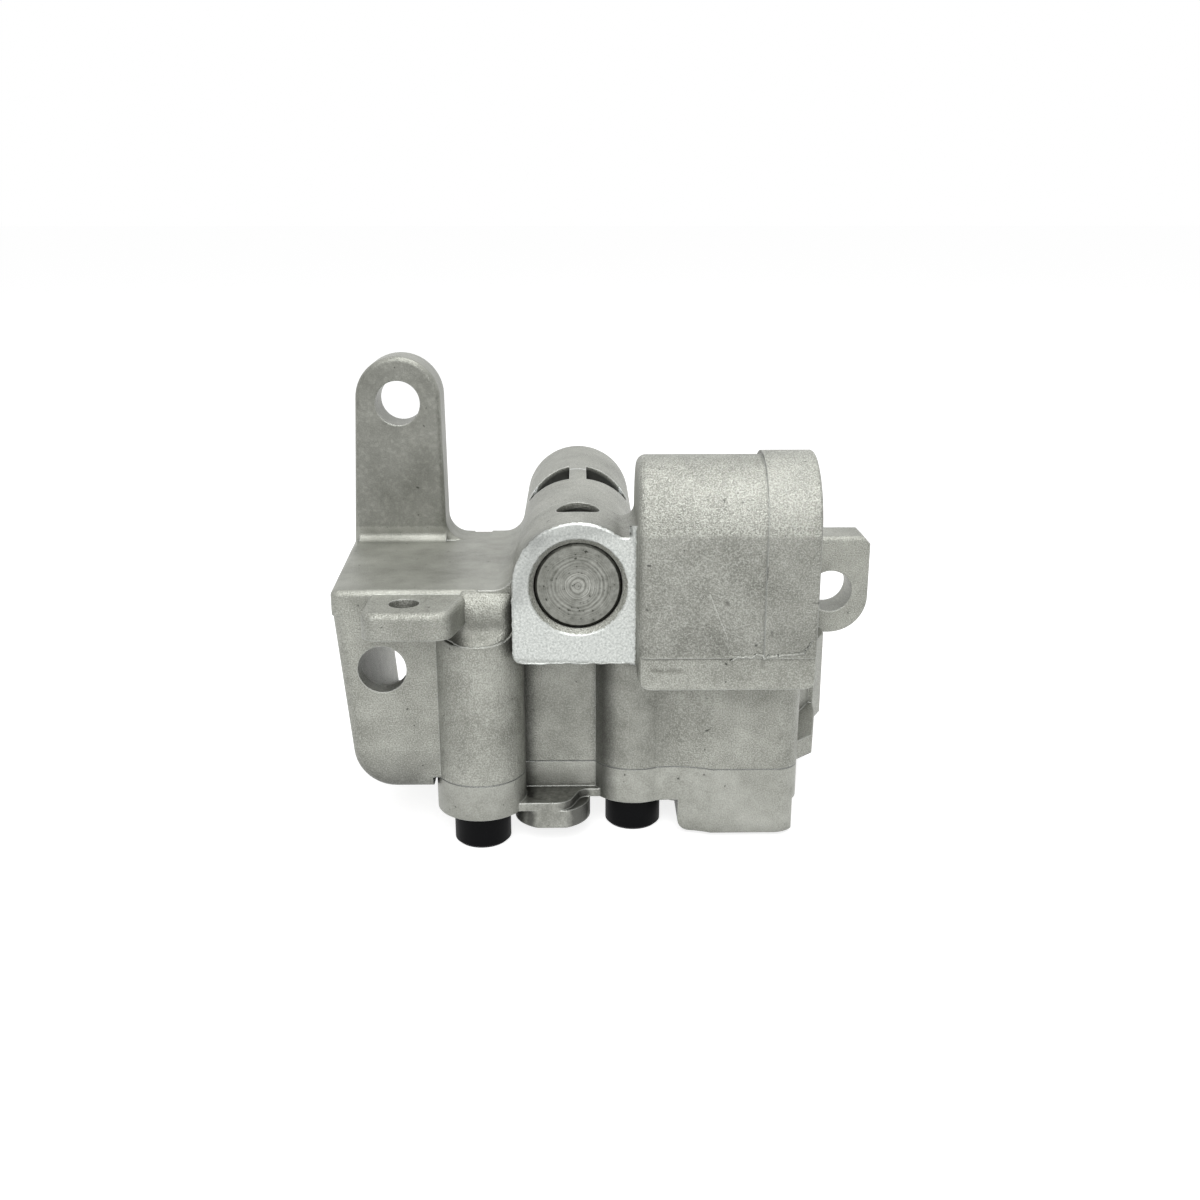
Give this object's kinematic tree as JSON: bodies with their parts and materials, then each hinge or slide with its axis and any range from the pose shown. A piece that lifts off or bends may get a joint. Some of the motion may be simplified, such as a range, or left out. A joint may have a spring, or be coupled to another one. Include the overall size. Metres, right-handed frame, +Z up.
{
  "type": "engine oil pump",
  "caption": "Gear oil pump in a cast housing: bolted cover with a drive socket, suction pipe socket, relief valve cylinder and mounting lugs.",
  "frame": {"origin": "on the drive shaft's axis, level with the underside of the drive boss and of the cover's block", "axes": "+Z up along the drive shaft, +Y out of the mounting face towards the engine, +X out of the suction socket"},
  "size_m": [0.1014, 0.0818, 0.0838],
  "materials": {
    "cast_aluminium": "die-cast and shot-blasted aluminium, machined on the joint, boss and mounting faces",
    "black_oxide_steel": "black oxide on steel",
    "turned_steel": "faced on a lathe, with turning rings",
    "ground_steel": "hardened and ground",
    "gear_steel": "sintered steel, oiled",
    "spring_steel": "oil-tempered wire and strip",
    "bronze": "sintered bronze",
    "nitrile_rubber": "moulded black nitrile"
  },
  "bodies": {
    "pump": {"pump_body": "cast_aluminium", "pump_cover": "cast_aluminium", "cover_screws": "black_oxide_steel", "cover_dowels": "ground_steel", "drive_shaft_upper_bush": "bronze", "drive_shaft_lower_bush": "bronze", "idler_pin": "ground_steel", "relief_plug": "turned_steel", "relief_plug_pin": "ground_steel", "relief_spring_shim": "spring_steel", "relief_spring": "spring_steel", "suction_o_ring": "nitrile_rubber", "outlet_o_ring": "nitrile_rubber"},
    "drive": {"drive_shaft": "ground_steel", "drive_gear": "gear_steel", "drive_gear_key": "ground_steel", "gear_snap_rings": "spring_steel"},
    "driven": {"driven_gear": "gear_steel", "driven_gear_bush": "bronze"},
    "relief": {"relief_piston": "ground_steel"}
  },
  "joints": [
    {"name": "drive_spin", "type": "hinge", "parent": "pump", "child": "drive", "pos_m": [0, 0, 0.0216], "axis": [0, 0, 1], "continuous": true},
    {"name": "driven_spin", "type": "hinge", "parent": "pump", "child": "driven", "pos_m": [-0.0225, 0, 0.0216], "axis": [0, 0, 1], "continuous": true},
    {"name": "relief_slide", "type": "slide", "parent": "pump", "child": "relief", "axis": [0, -1, 0], "range_m": [0, 0.01], "stiffness_N_per_m": 5000, "springref_m": -0.007, "deforming": ["relief_spring"]}
  ],
  "couplings": [
    {"joint": "driven_spin", "follows": "drive_spin", "ratio": -1}
  ]
}
